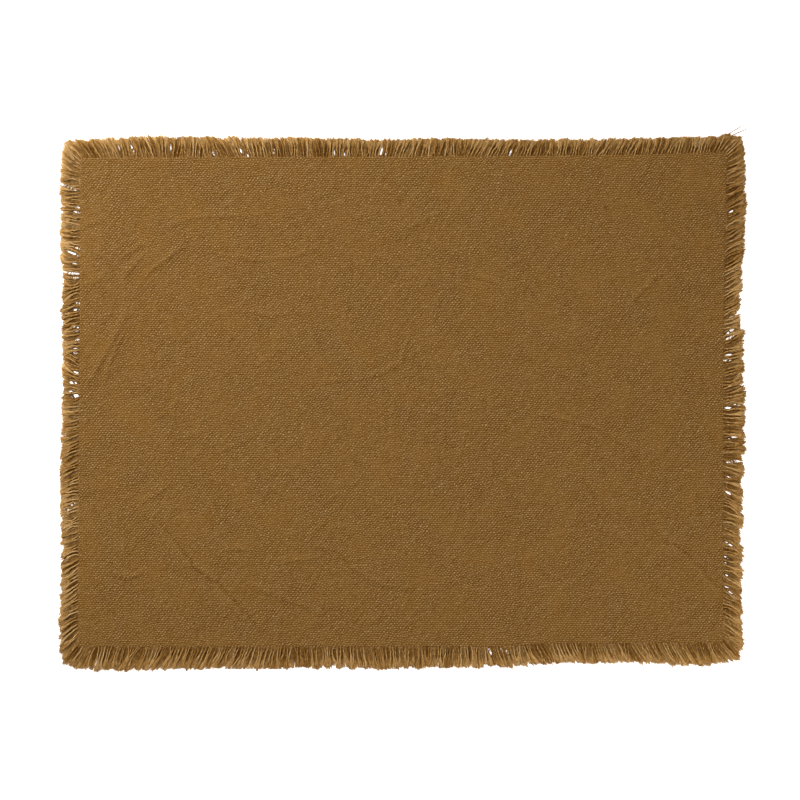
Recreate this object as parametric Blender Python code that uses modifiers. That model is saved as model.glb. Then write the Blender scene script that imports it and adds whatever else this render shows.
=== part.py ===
"""Fabric placemat of heavy plain-weave cotton, fringed on all four sides and lying flat.

Metres, +Z up. The origin is the middle of the mat's box on the surface it lies on, +X runs along
the long sides and +Y along the short ones. The pieces are the woven cloth and four fringes, each
fringe a narrow root strip with its locks. The cloth is soft and creased: its long creases stand
up as low ridges, and it lies flat between them. The locks fan out towards the corners, drift
together here and there, and leave a few open gaps, as drawn-out yarns do.
"""

from collections import namedtuple

import bmesh
import bpy
import numpy as np

MM = 0.001

# The cloth
CLOTH_LENGTH = 424 * MM  # in the middle; its edges bow and slant, as the table of sides says
CLOTH_DEPTH = 322 * MM
CLOTH_THICKNESS = 1.4 * MM
CREASE_CELL = 4.0 * MM  # how finely the creases are shaped before the flat ground is thinned out
KEPT_SHARE = 0.13  # of the cloth's faces, after the flat ground is thinned out
CREASE_FADE = 0.25  # share of a crease's length over which it rises at each end

# The fringe
PIECE_GAP = 0.3 * MM  # between the cloth and a root strip
STRIP_WIDTH = 1.6 * MM
STRIP_HEIGHT = 1.1 * MM
STRIP_OUT = PIECE_GAP + STRIP_WIDTH  # from the cloth to a strip's outer side
LOCKS = {"top": 76, "bottom": 76, "left": 58, "right": 58}
ROOT_FILL = 0.68  # share of its pitch that a lock fills at the strip
LEAST_INSET = 0.20 * MM  # least distance of a lock from the line that parts it from the next
LEAST_WIDTH = 0.9 * MM  # of a lock beside an open gap
CREST_SHARE = 0.68  # width of a lock's top, as a share of its foot
PITCH_SPREAD = 0.14  # how far a parting strays along its side, as a share of the mean pitch
LENGTH_SPREAD = 0.07  # how far one lock's length strays from the next
LEAN_SPREAD = 0.10  # how far one lock's lean strays from the next
CURL_SPREAD = 0.12  # how far a lock's end curls along the side, as a share of its reach
CURL_RUN = 20  # locks from one curl to the next the same way
MOST_CONVERGENCE = 0.40  # share of its root pitch that a lock may lose towards its tip
SEEDS = {"top": 11, "bottom": 12, "left": 13, "right": 14}

# A lock's sections past its root: how far out, as a share of its reach, the share of its pitch
# that it fills there, and its height.
Section = namedtuple("Section", "out fill height")
SECTIONS = (
    Section(0.40, 0.84, 1.5 * MM),
    Section(0.80, 0.93, 1.4 * MM),
    Section(1.00, 0.62, 0.7 * MM),
)

# Each side in millimetres. `at` is the place along the side, `edge` is how far from the middle of
# the mat the weave ends, `tip` is how far out the fringe reaches, and `lean` is how far a lock
# drifts along the side for each millimetre outwards.
Station = namedtuple("Station", "at edge tip lean")
SIDES = {
    "top": (
        Station(-210.9, 158.6, 170.6, -1.10),
        Station(-196.0, 158.7, 171.4, -0.35),
        Station(-142.0, 158.9, 172.4, -0.25),
        Station(-65.0, 159.3, 171.6, -0.05),
        Station(0.0, 159.6, 170.4, 0.10),
        Station(70.0, 160.0, 171.0, 0.30),
        Station(140.0, 160.6, 171.3, 0.50),
        Station(195.0, 161.8, 173.0, 0.60),
        Station(213.4, 162.6, 175.8, 1.00),
    ),
    "bottom": (
        Station(-212.4, 162.4, 175.8, -1.00),
        Station(-196.0, 162.4, 176.6, -0.45),
        Station(-140.0, 162.4, 176.0, -0.40),
        Station(-60.0, 162.4, 175.9, -0.15),
        Station(10.0, 162.3, 175.6, 0.05),
        Station(64.0, 162.1, 174.8, 0.20),
        Station(88.0, 160.4, 172.8, 0.30),
        Station(140.0, 159.9, 172.0, 0.45),
        Station(196.0, 159.7, 174.0, 0.45),
        Station(210.8, 159.6, 172.4, 1.10),
    ),
    "left": (
        Station(-162.4, 212.4, 223.6, -1.10),
        Station(-148.0, 212.4, 224.4, -0.55),
        Station(-100.0, 212.2, 224.0, -0.45),
        Station(-58.0, 212.0, 225.4, -0.35),
        Station(0.0, 211.6, 222.8, -0.10),
        Station(70.0, 211.2, 222.6, 0.10),
        Station(130.0, 211.0, 223.0, 0.40),
        Station(158.6, 210.9, 222.4, 1.10),
    ),
    "right": (
        Station(-159.6, 210.8, 224.4, -1.10),
        Station(-140.0, 210.7, 222.6, -0.70),
        Station(-105.0, 210.6, 223.0, -0.65),
        Station(-50.0, 210.6, 223.2, -0.25),
        Station(0.0, 210.7, 223.2, -0.08),
        Station(50.0, 210.9, 223.8, 0.10),
        Station(85.0, 211.6, 223.8, 0.50),
        Station(125.0, 212.6, 226.0, 0.75),
        Station(162.6, 213.4, 224.6, 1.05),
    ),
}

# The widest open gaps between locks, in millimetres: the place at the root, and the width.
Opening = namedtuple("Opening", "at width")
OPEN_GAPS = {
    "top": (Opening(-177, 2.0), Opening(-152, 1.6), Opening(-14, 1.4), Opening(71, 1.6)),
    "bottom": (Opening(54, 1.4), Opening(-190, 1.2)),
    "left": (Opening(136, 3.0), Opening(94, 2.0), Opening(82, 2.0), Opening(9, 1.8)),
    "right": (Opening(122, 2.2), Opening(42, 2.6), Opening(-92, 2.6), Opening(-124, 2.4)),
}

# The long creases, in millimetres: how high and how wide on each side, and the way each one runs.
Crease = namedtuple("Crease", "height spread route")
CREASES = (
    Crease(0.55, 6.5, ((-206, -16), (-195, 13), (-176, 55))),
    Crease(0.45, 6.0, ((-189, 78), (-172, 95), (-153, 111), (-133, 123), (-87, 124))),
    Crease(0.35, 5.5, ((-123, 95), (-97, 93), (-71, 95), (-54, 101))),
    Crease(0.35, 5.5, ((-110, 59), (-84, 56), (-64, 50))),
    Crease(0.45, 6.0, ((-54, 9), (-12, 19), (1, 29), (14, 46))),
    Crease(0.55, 6.5, ((-176, -66), (-141, -102), (-127, -118), (-94, -154))),
    Crease(0.45, 6.0, ((-117, -100), (-84, -100), (-25, -117), (18, -124))),
    Crease(0.45, 6.0, ((77, 3), (116, -15), (152, -32))),
    Crease(0.40, 6.0, ((136, 59), (149, 62), (172, 87))),
    Crease(0.50, 6.5, ((146, -72), (178, -92), (208, -124))),
    Crease(0.40, 6.0, ((21, 108), (47, 88), (70, 90))),
)

# The two directions of each side in plan: along it, and outwards.
DIRECTIONS = {
    "top": ((1, 0), (0, 1)),
    "bottom": ((1, 0), (0, -1)),
    "left": ((0, 1), (-1, 0)),
    "right": ((0, 1), (1, 0)),
}


def read_side(side, column, at):
    """The value of a side's column at places along it, in metres (lean has no unit)."""
    unit = 1.0 if column == "lean" else MM
    places = [station.at * MM for station in SIDES[side]]
    values = [getattr(station, column) * unit for station in SIDES[side]]
    return np.interp(at, places, values)


def cotton(name, colour):
    """A matt cotton finish."""
    material = bpy.data.materials.new(name)
    material.use_nodes = True
    shader = material.node_tree.nodes["Principled BSDF"]
    shader.inputs["Base Color"].default_value = (*colour, 1.0)
    shader.inputs["Roughness"].default_value = 0.9
    shader.inputs["Metallic"].default_value = 0.0
    return material


def new_object(name, bm, material, collection):
    """Turns a bmesh into a named object with one material."""
    mesh = bpy.data.meshes.new(name)
    bm.to_mesh(mesh)
    bm.free()
    mesh.materials.append(material)
    piece = bpy.data.objects.new(name, mesh)
    collection.objects.link(piece)
    return piece


# ---- The woven cloth


def cloth_point(across, up):
    """The place of a point given by its shares of the cloth's width and depth, in metres."""
    y = (up - 0.5) * CLOTH_DEPTH
    for _ in range(3):
        left = -read_side("left", "edge", y)
        right = read_side("right", "edge", y)
        x = left + (right - left) * across
        bottom = -read_side("bottom", "edge", x)
        top = read_side("top", "edge", x)
        y = bottom + (top - bottom) * up
    return x, y


def crease_height(crease, x, y):
    """How high one crease lifts the points (x, y)."""
    route = np.array(crease.route) * MM
    steps = np.linalg.norm(np.diff(route, axis=0), axis=1)
    run = np.concatenate(([0.0], np.cumsum(steps)))
    nearest = np.full(x.shape, np.inf)
    along = np.zeros(x.shape)
    for start, end, begun, length in zip(route[:-1], route[1:], run[:-1], steps):
        step = (end - start) / length
        share = np.clip((x - start[0]) * step[0] + (y - start[1]) * step[1], 0, length)
        distance = np.hypot(x - start[0] - share * step[0], y - start[1] - share * step[1])
        closer = distance < nearest
        nearest = np.where(closer, distance, nearest)
        along = np.where(closer, (begun + share) / run[-1], along)
    rise = np.clip(np.minimum(along, 1 - along) / CREASE_FADE, 0, 1)
    profile = np.clip(1 - (nearest / (crease.spread * MM)) ** 2, 0, 1) ** 2
    return crease.height * MM * np.sqrt(rise) * profile


def make_cloth(collection):
    """The panel: a grid fitted to the four edges and lifted along the creases, then thickened."""
    columns = round(CLOTH_LENGTH / CREASE_CELL)
    rows = round(CLOTH_DEPTH / CREASE_CELL)
    bm = bmesh.new()
    bmesh.ops.create_grid(bm, x_segments=columns, y_segments=rows, size=0.5)
    shares = np.array([vert.co[:2] for vert in bm.verts]) + 0.5
    x, y = cloth_point(shares[:, 0], shares[:, 1])
    z = np.max([crease_height(crease, x, y) for crease in CREASES], axis=0)
    for vert, place in zip(bm.verts, np.stack((x, y, z), axis=1)):
        vert.co = place
    cloth = new_object("cloth", bm, cotton("cloth", (0.224, 0.111, 0.031)), collection)
    thin_out = cloth.modifiers.new("thin out the flat ground", "DECIMATE")
    thin_out.ratio = KEPT_SHARE
    thicken = cloth.modifiers.new("thickness of the weave", "SOLIDIFY")
    thicken.thickness = CLOTH_THICKNESS
    thicken.offset = 1.0
    return cloth


# ---- The fringes


def limit_convergence(slopes, roots, reach):
    """Raises each slope where it would bring a parting line too near the one before it."""
    least_steps = -MOST_CONVERGENCE * np.diff(roots) / reach
    for index, least_step in enumerate(least_steps):
        slopes[index + 1] = max(slopes[index + 1], slopes[index] + least_step)
    return slopes


class Partings:
    """The lines that part a side's locks: bent slightly, and never crossing each other."""

    def __init__(self, side):
        draw = np.random.default_rng(SEEDS[side])
        stations = SIDES[side]
        count = LOCKS[side]
        self.root = np.linspace(stations[0].at * MM, stations[-1].at * MM, count + 1)
        pitch = self.root[1] - self.root[0]
        uneven = draw.uniform(-PITCH_SPREAD, PITCH_SPREAD, count + 1) * pitch
        uneven[[0, -1]] = 0.0
        self.root += uneven
        fringe_width = read_side(side, "tip", self.root) - read_side(side, "edge", self.root)
        self.reach = fringe_width - STRIP_OUT
        stray = draw.uniform(-1, 1, count + 1)
        stray[[0, -1]] = 0.0
        lean = read_side(side, "lean", self.root) + LEAN_SPREAD * stray
        self.lean = limit_convergence(lean, self.root, self.reach.max())
        turns = np.arange(count + 1) / CURL_RUN + draw.uniform()
        self.curl = CURL_SPREAD * np.sin(2 * np.pi * turns)
        self.curl[[0, -1]] = 0.0
        self.length = 1 + draw.uniform(-LENGTH_SPREAD, LENGTH_SPREAD, count)

    def place(self, index, out):
        """Where a parting line stands along the side, at a distance out from the root strip."""
        share = out / self.reach[index]
        bend = self.curl[index] * share * out
        return self.root[index] + self.lean[index] * out + bend


def lock_edges(partings, index, out, fill, opened):
    """The two edges of a lock along its side, at a distance out from the root strip."""
    low = partings.place(index, out)
    high = partings.place(index + 1, out)
    inset = max((high - low) * (1 - fill) / 2, LEAST_INSET)
    low_inset = inset + opened.get(index, 0.0)
    high_inset = inset + opened.get(index + 1, 0.0)
    spare = (high - low) - LEAST_WIDTH
    squeeze = np.clip(spare / (low_inset + high_inset), 0.0, 1.0)
    return low + low_inset * squeeze, high - high_inset * squeeze


def open_partings(side, partings):
    """The parting lines that stand at an open gap, with half the gap's width for each."""
    opened = {}
    for gap in OPEN_GAPS[side]:
        nearest = int(np.argmin(np.abs(partings.root - gap.at * MM)))
        opened[nearest] = gap.width * MM / 2
    return opened


def move_section(face, low, high, out, height):
    """Moves a lock's four end corners, in its side's own axes: along, out and up."""
    middle = face.calc_center_median()
    crest_inset = (high - low) * (1 - CREST_SHARE) / 2
    for vert in face.verts:
        is_crest = vert.co.z > middle.z
        inset = crest_inset if is_crest else 0.0
        is_low = vert.co.x < middle.x
        vert.co = (low + inset if is_low else high - inset, out, height if is_crest else 0.0)


def make_fringe(side, collection):
    """A root strip with its locks drawn out of it, one after another along the side."""
    partings = Partings(side)
    opened = open_partings(side, partings)
    ends = [lock_edges(partings, i, 0.0, ROOT_FILL, {}) for i in range(LOCKS[side])]
    stops = np.array([partings.root[0], *np.ravel(ends), partings.root[-1]])

    bm = bmesh.new()
    bmesh.ops.create_grid(bm, x_segments=len(stops) - 1, y_segments=1, size=0.5)
    inner = sorted((v for v in bm.verts if v.co.y < 0), key=lambda v: v.co.x)
    outer = sorted((v for v in bm.verts if v.co.y > 0), key=lambda v: v.co.x)
    for row, out in ((inner, PIECE_GAP), (outer, STRIP_OUT)):
        for vert, stop in zip(row, stops):
            vert.co = (stop, out, 0.0)
    raised = bmesh.ops.extrude_face_region(bm, geom=bm.faces[:])["geom"]
    for vert in (item for item in raised if isinstance(item, bmesh.types.BMVert)):
        vert.co.z = STRIP_HEIGHT
    bmesh.ops.recalc_face_normals(bm, faces=bm.faces)

    # The strip's outer faces are gaps and lock roots by turns, and start with a gap.
    fronts = [face for face in bm.faces if face.normal.y > 0.9]
    fronts.sort(key=lambda face: face.calc_center_median().x)
    for index, face in enumerate(fronts[1::2]):
        reach = (partings.reach[index] + partings.reach[index + 1]) / 2 * partings.length[index]
        for section in SECTIONS:
            out = reach * section.out
            low, high = lock_edges(partings, index, out, section.fill, opened)
            face = bmesh.ops.extrude_discrete_faces(bm, faces=[face])["faces"][0]
            move_section(face, low, high, STRIP_OUT + out, section.height)

    along, outwards = DIRECTIONS[side]
    for vert in bm.verts:
        at = vert.co.x
        out = vert.co.y + read_side(side, "edge", at)
        vert.co.x = along[0] * at + outwards[0] * out
        vert.co.y = along[1] * at + outwards[1] * out
    bmesh.ops.recalc_face_normals(bm, faces=bm.faces)
    name = f"fringe_{side}"
    return new_object(name, bm, cotton(name, (0.290, 0.150, 0.042)), collection)


# ---- The whole mat


def centre_on_origin(pieces):
    """Slides all pieces so that the middle of the mat's box stands at the origin."""
    corners = np.array([vert.co for piece in pieces for vert in piece.data.vertices])
    middle = (corners.min(axis=0) + corners.max(axis=0)) / 2
    for piece in pieces:
        for vert in piece.data.vertices:
            vert.co.x -= middle[0]
            vert.co.y -= middle[1]


def main():
    for leftover in list(bpy.data.objects):
        bpy.data.objects.remove(leftover, do_unlink=True)
    collection = bpy.data.collections.new("placemat")
    bpy.context.scene.collection.children.link(collection)
    pieces = [make_cloth(collection)]
    pieces += [make_fringe(side, collection) for side in SIDES]
    centre_on_origin(pieces)


main()
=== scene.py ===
# %% [markdown]
# # A fringed cotton placemat
#
# This lesson dresses a flat, heavy, plain-weave placemat with a short fringe on its four sides.
# The construction is already there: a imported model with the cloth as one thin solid, and each
# fringe as a strip with coarse locks. Here they get their real surface: a creased sheet with the
# weave in its finish, and some thirteen hundred loose yarns that fray at their ends.

import bmesh
import bpy
import numpy as np
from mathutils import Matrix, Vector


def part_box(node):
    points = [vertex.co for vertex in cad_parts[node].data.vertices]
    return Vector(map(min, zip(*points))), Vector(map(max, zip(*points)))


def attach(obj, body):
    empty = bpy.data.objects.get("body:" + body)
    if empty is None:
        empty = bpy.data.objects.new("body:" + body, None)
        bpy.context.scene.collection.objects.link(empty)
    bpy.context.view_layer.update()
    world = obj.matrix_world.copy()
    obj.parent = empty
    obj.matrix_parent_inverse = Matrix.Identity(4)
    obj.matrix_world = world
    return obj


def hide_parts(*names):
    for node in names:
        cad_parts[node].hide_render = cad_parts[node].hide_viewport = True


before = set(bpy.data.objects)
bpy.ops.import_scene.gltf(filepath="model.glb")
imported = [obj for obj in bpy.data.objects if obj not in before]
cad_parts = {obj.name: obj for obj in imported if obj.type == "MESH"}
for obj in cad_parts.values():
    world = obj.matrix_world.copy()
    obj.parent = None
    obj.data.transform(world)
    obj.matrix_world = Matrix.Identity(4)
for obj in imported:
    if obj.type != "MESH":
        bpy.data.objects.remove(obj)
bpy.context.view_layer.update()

# %% [markdown]
# ## Sizes
#
# A mat like this is cut to about 45 by 35 cm with its fringe. The weave is coarse: a warp yarn
# every 1.07 mm and a weft yarn every 1.33 mm, which makes 395 warps across the mat and 243 wefts
# up it. The fringe is the same yarns, 10 to 15 mm of them, left where the cross yarns were drawn
# out. So the number of yarns on each side isn't a free choice.

# %% Driving sizes
MM = 0.001
WARPS = 395  # run up the mat, into the top and bottom fringes
WEFTS = 243  # run across it, into the side fringes
WARP_RADIUS = 0.47 * MM
WEFT_RADIUS = 0.56 * MM
CLOTH_THICKNESS = 1.3 * MM
CLOTH_CELL = 1.22 * MM  # of the sheet's mesh

# How far the mat's own middle, which the tables measure from, lies from the origin.
# The tables put the cloth between -212.4 and 213.4 mm, and between -162.4 and 162.6 mm.
low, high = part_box("cloth")
TABLE_SHIFT = np.array([(low[0] + high[0]) / 2 - 0.5 * MM, (low[1] + high[1]) / 2 - 0.1 * MM])
print("tables shifted by", TABLE_SHIFT / MM, "mm")

# %% [markdown]
# ## How each side runs
#
# The mat was cut by eye, so no side is quite straight. One table for each side holds places along
# it, how far out the weave ends, and how far out the fringe reaches. A second one says how much
# the yarns lean for each millimetre outwards: the fringe was brushed from the middle, so it mostly
# fans towards the corners.

# %% Tables of the four sides, in millimetres
COLUMNS = ("at", "edge", "tip")
SIDES = {
    "top": (
        (-210.9, 158.6, 167.8), (-206, 158.6, 170.4), (-180, 158.7, 172), (-150, 158.9, 172.8),
        (-110, 159.1, 171.7), (-65, 159.3, 172), (-20, 159.5, 170.4), (22, 159.7, 171.3),
        (70, 160, 170.3), (140, 160.6, 171.4), (195, 161.8, 172.1), (208, 162.4, 173.8),
        (213.4, 162.6, 171.2),
    ),
    "bottom": (
        (-212.4, 162.4, 172.4), (-206, 162.4, 176.8), (-196, 162.4, 177.6), (-140, 162.4, 176.9),
        (-108, 162.4, 176.5), (-60, 162.4, 176.1), (-20, 162.3, 176.7), (10, 162.3, 176.5),
        (64, 162.1, 175.6), (88, 160.4, 173.4), (140, 159.9, 172.4), (196, 159.7, 174.7),
        (205, 159.7, 173), (210.8, 159.6, 169.6),
    ),
    "left": (
        (-162.4, 212.4, 221.9), (-156, 212.4, 224.3), (-148, 212.4, 224.6), (-121, 212.3, 223.6),
        (-87, 212.1, 223.8), (-58, 212, 224.3), (-20, 211.8, 224.2), (13, 211.5, 222.2),
        (47, 211.3, 222.9), (80, 211.2, 223.2), (113, 211.1, 223.9), (146, 211, 223.8),
        (154, 210.9, 222.9), (158.6, 210.9, 219.9),
    ),
    "right": (
        (-159.6, 210.8, 221.3), (-150, 210.8, 224.4), (-140, 210.7, 222.9), (-117, 210.6, 223.4),
        (-83, 210.6, 222.3), (-50, 210.6, 224.4), (-15, 210.7, 225.2), (18, 210.8, 223.8),
        (50, 210.9, 222), (86, 211.6, 224.1), (122, 212.5, 225.1), (150, 213, 223.9),
        (157, 213.2, 223.7), (162.6, 213.4, 222),
    ),
}
LEANS = {
    "top": (
        (-211, -1.25), (-205, -0.75), (-195, -0.53), (-185, -0.35), (-174, -0.22), (-164, -0.48),
        (-154, -0.05), (-143, 0.1), (-133, 0.1), (-122, -0.38), (-112, -0.6), (-101, -0.38),
        (-90, -0.15), (-70, -0.18), (-50, -0.02), (-28, 0.12), (-17, 0.2), (0, 0.4), (15, 0.28),
        (35, 0.12), (46, 0.52), (56, 0.5), (70, 0.36), (88, 0.3), (100, 0.12), (109, 0.14),
        (119, 0.25), (135, 0.58), (150, 0.42), (161, 0.26), (175, 0.58), (193, 0.24), (203, 0.45),
        (208, 0.7), (213, 1.15),
    ),
    "bottom": (
        (-212, -1.1), (-206, -0.52), (-195, -0.38), (-185, -0.42), (-150, -0.45), (-130, -0.45),
        (-100, -0.42), (-90, -0.42), (-80, -0.28), (-70, 0.02), (-60, 0.08), (-50, 0.05), (-35, 0.12),
        (-17, 0.18), (0, 0.06), (14, -0.02), (25, 0.02), (35, -0.04), (46, 0.08), (58, 0.28),
        (75, 0.42), (95, 0.55), (109, 0.5), (119, 0.28), (135, 0.44), (160, 0.5), (182, 0.56),
        (193, 0.38), (200, 0.36), (205, 0.6), (211, 1.15),
    ),
    "left": (
        (-162, -1.25), (-156, -0.8), (-146, -0.58), (-120, -0.62), (-109, -0.6), (-97, -0.36),
        (-80, -0.44), (-67, -0.24), (-56, -0.1), (-46, -0.48), (-36, -0.52), (-25, -0.36),
        (-15, -0.02), (-4, -0.2), (6, 0.1), (17, 0.46), (27, 0.3), (38, -0.3), (48, -0.26),
        (60, -0.24), (70, -0.5), (80, 0.06), (90, 0.4), (101, 0.26), (111, 0.02), (122, 0.12),
        (132, 0.06), (143, 0.12), (152, 0.8), (158, 1.25),
    ),
    "right": (
        (-159, -1.15), (-153, -0.75), (-141, -0.62), (-130, -0.56), (-120, -0.48), (-109, -0.36),
        (-90, -0.44), (-78, -0.34), (-67, -0.43), (-57, -0.38), (-46, -0.22), (-36, -0.04), (-25, 0),
        (-15, -0.08), (-4, 0.12), (6, 0.46), (17, 0.26), (27, 0.26), (38, 0.38), (48, 0.43),
        (59, 0.54), (75, 0.54), (90, 0.53), (111, 0.54), (130, 0.58), (148, 0.6), (156, 0.8),
        (162, 1.15),
    ),
}


def by_side(*values):
    """One value for each side, in the tables' order."""
    return dict(zip(SIDES, values))


def read_side(side, column, at):
    """A side's column at places along it, in metres."""
    rows = np.array(SIDES[side]) * MM
    return np.interp(at, rows[:, 0], rows[:, COLUMNS.index(column)])


def read_lean(side, at):
    """How far a yarn runs along its side for each step outwards."""
    rows = np.array(LEANS[side])
    return np.interp(at, rows[:, 0] * MM, rows[:, 1])


ALONG = by_side((1, 0), (1, 0), (0, 1), (0, 1))  # the way each side runs
OUTWARDS = by_side((0, 1), (0, -1), (-1, 0), (1, 0))
print("sides:", {side: len(rows) for side, rows in SIDES.items()})

# %% [markdown]
# ## Creases
#
# Heavy cotton keeps the marks of how it was stored: low folds, a few tenths of a millimetre high,
# with a broad side towards the upper left and a steep one. A sharp one gets a painted highlight
# along its lit side and a painted shade line along its steep side. A row gives a fold's height, how
# far its broad side spreads, and the way it runs. The last three are broad and shallow, where the
# sheet doesn't lie flat along its left edge. A second table holds rubbed, paler spots and two small
# knots of darker fibre: place, radius and lightness.

# %% Table of creases, in millimetres
CREASES = (
    (0.8, 5.8, (-208, 6), (-202, 17), (-193, 32), (-186, 45), (-180, 58)),
    (0.46, 3.8, (-196, 4), (-191, 25), (-185, 38), (-179, 51)),
    (0.49, 3.8, (-184, 78), (-178, 85), (-169, 96)), (0.53, 4.2, (-187, 90), (-180, 96), (-168, 102)),
    (0.65, 3.8, (-169, 80), (-160, 88), (-151, 95), (-142, 101)),
    (0.34, 3.2, (-161, 108), (-150, 114), (-139, 119), (-120, 120), (-103, 120), (-83, 123)),
    (0.33, 3.2, (-127, 97), (-117, 94), (-94, 91), (-69, 94), (-59, 98), (-51, 102)),
    (0.34, 3, (-112, 57), (-100, 57), (-87, 55), (-71, 56)), (0.27, 2.8, (-121, 131), (-111, 140)),
    (0.27, 2.8, (-96, 21), (-80, 33)), (0.27, 2.8, (-111, 20), (-99, 7)),
    (0.33, 3.2, (-58, 10), (-43, 12), (-23, 14), (-12, 18), (0, 24), (2, 34), (6, 44), (16, 48)),
    (0.3, 3, (0, 110), (10, 115), (24, 123)), (0.3, 3, (19, 104), (32, 96), (46, 86)),
    (0.46, 3.2, (46, 81), (55, 79), (64, 75)), (0.27, 2.8, (65, 85), (81, 94)),
    (0.42, 3, (147, 60), (157, 70), (168, 82)), (0.27, 2.5, (196, 101), (204, 101)),
    (0.38, 3, (82, -9), (104, -13), (126, -18), (138, -25), (151, -32), (159, -38)),
    (0.27, 2.8, (126, -74), (138, -86)),
    (0.46, 3.2, (158, -80), (178, -95), (190, -105), (203, -120), (212, -128)),
    (0.57, 3.2, (-165, -75), (-151, -91), (-138, -108), (-123, -119), (-110, -133), (-95, -151)),
    (0.46, 3.8, (-119, -99), (-108, -98), (-98, -99)),
    (0.3, 3, (-100, -112), (-107, -120), (-113, -129)),
    (0.61, 5, (-102, -121), (-87, -127), (-77, -131), (-56, -138)),
    (0.38, 3.5, (-84, -108), (-68, -105), (-54, -105)),
    (0.38, 3.2, (-60, -95), (-44, -100), (-35, -109), (-23, -117), (-12, -122), (3, -125)),
    (0.46, 3.5, (-192, -113), (-181, -117), (-168, -114)),
    (0.34, 3, (-174, -70), (-161, -62), (-147, -51)), (0.3, 2.8, (-59, -88), (-50, -80)),
    (0.23, 2.8, (-70, -5), (-59, -9)), (0.27, 2.8, (-23, -152), (-11, -136)),
    (0.27, 2.8, (-183, -84), (-181, -106)), (0.34, 3, (-161, -14), (-152, -6), (-144, 2)),
    (0.27, 2.8, (-139, -41), (-127, -29)), (0.27, 2.8, (-124, -36), (-99, -26)),
    (0.23, 2.8, (-128, -5), (-116, 6)), (0.23, 2.8, (-150, 22), (-138, 36)),
    (0.6, 9, (-218, -60), (-202, -59), (-184, -58)), (0.5, 8, (-216, 72), (-203, 76), (-190, 82)),
    (0.35, 5, (-216, 112), (-205, 114), (-196, 117)),
)
SPOTS = (
    (34, 27, 6.5, 0.08), (18.5, 45.5, 3, 0.08), (115, 50.5, 7, 0.06), (-201, 146, 15, 0.035),
    (-202, 122, 15, 0.045), (-204, 100, 12, 0.035), (134, 125.5, 1.3, -0.24), (172, 112, 1.2, -0.2),
)
CREASE_FADE = 0.3  # share of a crease's length over which it rises at each end
LIT_SIDE = (-0.77, 0.64)  # the way to the light
STEEP_SIDE = 0.6  # spread of a fold's steep side, for each unit of its broad side's
# A crease's lines are a painted highlight on its lit side and a painted shade line on its steep side.
PAINTED_LINE_SHARE = 1.4  # strength of a crease's lines, for each unit of its height over spread
SOFT_SHARE = 0.07  # by how much less, so that the broadest folds have none
# Its two lines, a painted highlight and a painted shade line: lightness, then distance from the ridge
# towards the light and spread, in mm.
PAINTED_CREASE_LINES = ((0.6, 1.5, 1.4), (-1.0, -0.8, 1.0))


def read_crease(x, y, height, spread, *route):
    """How much one crease lifts the points (x, y), and the painted highlight and shade it puts on
    them.
    """
    route = np.array(route) * MM
    steps = np.linalg.norm(np.diff(route, axis=0), axis=1)
    run = np.concatenate(([0.0], np.cumsum(steps)))
    nearest, along, lit = np.full(x.shape, np.inf), np.zeros(x.shape), np.zeros(x.shape)
    for start, end, begun, length in zip(route[:-1], route[1:], run[:-1], steps):
        step = (end - start) / length
        share = np.clip((x - start[0]) * step[0] + (y - start[1]) * step[1], 0, length)
        aside = (x - start[0] - share * step[0], y - start[1] - share * step[1])
        distance = np.hypot(*aside)
        closer = distance < nearest
        nearest = np.where(closer, distance, nearest)
        along = np.where(closer, (begun + share) / run[-1], along)
        lit = np.where(closer, LIT_SIDE[0] * aside[0] + LIT_SIDE[1] * aside[1] > 0, lit)
    rise = np.clip(np.minimum(along, 1 - along) / CREASE_FADE, 0, 1)
    reach = spread * MM * np.where(lit, 1.0, STEEP_SIDE)
    profile = np.clip(1 - (nearest / reach) ** 2, 0, 1) ** 2
    beside = np.where(lit, nearest, -nearest) / MM
    # Painted light and shade along the crease: lighter towards the light, a dark line on the steep
    # side.
    line = sum(tone * np.exp(-(((beside - at) / wide) ** 2)) for tone, at, wide in PAINTED_CREASE_LINES)
    sharp = PAINTED_LINE_SHARE * height / spread - SOFT_SHARE
    return height * MM * np.sqrt(rise) * profile, sharp * np.sqrt(rise) * line


print("creases:", len(CREASES))

# %% [markdown]
# ## The woven cloth
#
# A cloth simulation isn't needed: the sheet has settled, with its own outline and creases. So it
# starts as a grid primitive, whose lines are laid between the four edges as the yarns are. The same
# shares, counted in yarns, become a UV map: the weave runs with the edges, and each warp meets its
# own yarn of the fringe. The border is then drawn down to the table and closed by one flat face.
# Down there every point takes the count of one corner, so the weave is squeezed on the low wall
# behind the fringe, and is missing on the underside, which isn't seen.

# %% Lay a grid between the four edges
CLOTH_LENGTH = 424 * MM
CLOTH_DEPTH = 322 * MM
RIM_STEPS = np.array([0.0, 0.35, 0.8, 1.5]) * MM  # finer rows of the mesh along each edge
RIM_DROP = 0.15 * MM  # how much lower the face is where the weave ends
RIM_WIDTH = 1.3 * MM
SWELL, SWELL_SIZE = 0.02 * MM, 34 * MM  # of low, wide hills
SPOT_GRAIN = 5 * MM
WAVES = 18  # that cross in a soft noise


def deselect():
    """Leaves nothing selected, so that an operator acts on the new piece alone."""
    if bpy.context.mode != "OBJECT":
        bpy.ops.object.mode_set(mode="OBJECT")
    bpy.ops.object.select_all(action="DESELECT")


def shares_across(width):
    """The shares of a width at which the mesh has its lines: fine at both edges."""
    middle = round((width - 2 * RIM_STEPS[-1]) / CLOTH_CELL)
    inside = np.linspace(RIM_STEPS[-1], width - RIM_STEPS[-1], middle + 1)
    return np.concatenate((RIM_STEPS[:-1], inside, width - RIM_STEPS[-2::-1])) / width


def cloth_point(across, up):
    """The place of a point given by its shares of the cloth's width and depth."""
    y = (up - 0.5) * CLOTH_DEPTH
    for _ in range(3):
        left = -read_side("left", "edge", y)
        right = read_side("right", "edge", y)
        x = left + (right - left) * across
        bottom = -read_side("bottom", "edge", x)
        top = read_side("top", "edge", x)
        y = bottom + (top - bottom) * up
    return x, y


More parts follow.
